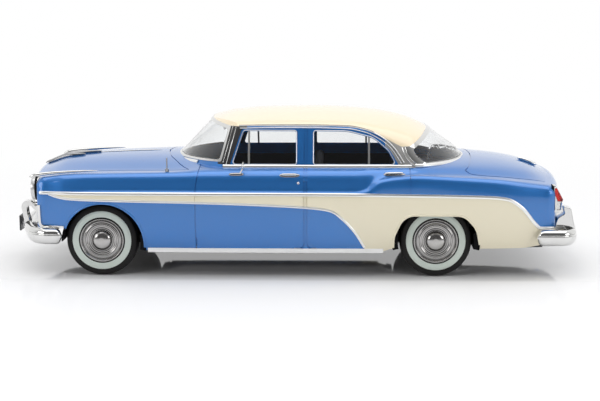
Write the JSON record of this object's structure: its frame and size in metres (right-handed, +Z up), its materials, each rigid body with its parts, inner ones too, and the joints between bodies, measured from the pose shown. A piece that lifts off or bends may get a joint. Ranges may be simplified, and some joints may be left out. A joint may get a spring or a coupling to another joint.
{
  "type": "1:18 scale model of a 1950s four-door saloon car",
  "caption": "Sealed 1:18 display model of a 1950s four-door saloon in two-tone paint with bright trim; it rolls on freely turning wheels.",
  "frame": {"origin": "on the ground under the middle of the length and width", "axes": "+X from the nose towards the tail, +Y towards the right side of the car, +Z up"},
  "size_m": [0.3098, 0.112, 0.086],
  "materials": {
    "blue_paint": "gloss metallic",
    "cream_paint": "gloss",
    "clear_glazing": "clear moulded plastic glazing",
    "tyre": "black with a greenish white sidewall band",
    "cabin_plastic": "satin navy",
    "seat_plastic": "satin blue with a pale bolster",
    "black_plastic": "satin black",
    "bare_steel": "satin",
    "bright_plating": "polished",
    "red_lens": "clear red",
    "white_lens": "frosted clear",
    "plate_paint": "blank plate"
  },
  "bodies": {
    "car": {"body": "blue_paint", "roof": "cream_paint", "windscreen_frame": "bright_plating", "windscreen": "clear_glazing", "rear_window_frame": "bright_plating", "rear_window": "clear_glazing", "door_window_frames": "bright_plating", "door_windows": "clear_glazing", "side_mouldings": "bright_plating", "sill_mouldings": "bright_plating", "drip_rails": "bright_plating", "belt_mouldings": "bright_plating", "grille_surround": "bright_plating", "grille": "bright_plating", "headlamp_rims": "bright_plating", "headlamp_lenses": "clear_glazing", "parking_lamps": "white_lens", "front_bumper": "bright_plating", "rear_bumper": "bright_plating", "bumper_guards": "bright_plating", "bumper_brackets": "bright_plating", "number_plates": "plate_paint", "tail_lamp_housings": "bright_plating", "tail_lamp_lenses": "red_lens", "reversing_lamp_lenses": "white_lens", "wing_spears": "bright_plating", "bonnet_ornament": "bright_plating", "boot_handle": "bright_plating", "door_handles": "bright_plating", "door_mirror": "bright_plating", "aerial": "bright_plating", "interior_tub": "cabin_plastic", "front_seat": "seat_plastic", "rear_seat": "seat_plastic", "dashboard": "cabin_plastic", "steering_wheel": "cabin_plastic", "rear_view_mirror": "bright_plating", "floor_pan": "black_plastic", "chassis_frame": "black_plastic", "rear_axle": "bare_steel", "leaf_springs": "bare_steel", "propeller_shaft": "bare_steel", "engine_and_gearbox": "black_plastic", "wishbones": "bare_steel", "front_knuckles": "bare_steel", "exhaust": "bare_steel", "fuel_tank": "black_plastic"},
    "front_left_wheel": {"tyre_front_left": "tyre", "wheel_front_left": "bright_plating"},
    "front_right_wheel": {"tyre_front_right": "tyre", "wheel_front_right": "bright_plating"},
    "rear_left_wheel": {"tyre_rear_left": "tyre", "wheel_rear_left": "bright_plating"},
    "rear_right_wheel": {"tyre_rear_right": "tyre", "wheel_rear_right": "bright_plating"}
  },
  "joints": [
    {"name": "front_left_wheel_spin", "type": "hinge", "parent": "car", "child": "front_left_wheel", "pos_m": [-0.10145, -0.0425, 0.0192], "axis": [0, 1, 0], "continuous": true},
    {"name": "front_right_wheel_spin", "type": "hinge", "parent": "car", "child": "front_right_wheel", "pos_m": [-0.10145, 0.0425, 0.0192], "axis": [0, 1, 0], "continuous": true},
    {"name": "rear_left_wheel_spin", "type": "hinge", "parent": "car", "child": "rear_left_wheel", "pos_m": [0.07635, -0.0425, 0.0192], "axis": [0, 1, 0], "continuous": true},
    {"name": "rear_right_wheel_spin", "type": "hinge", "parent": "car", "child": "rear_right_wheel", "pos_m": [0.07635, 0.0425, 0.0192], "axis": [0, 1, 0], "continuous": true}
  ]
}
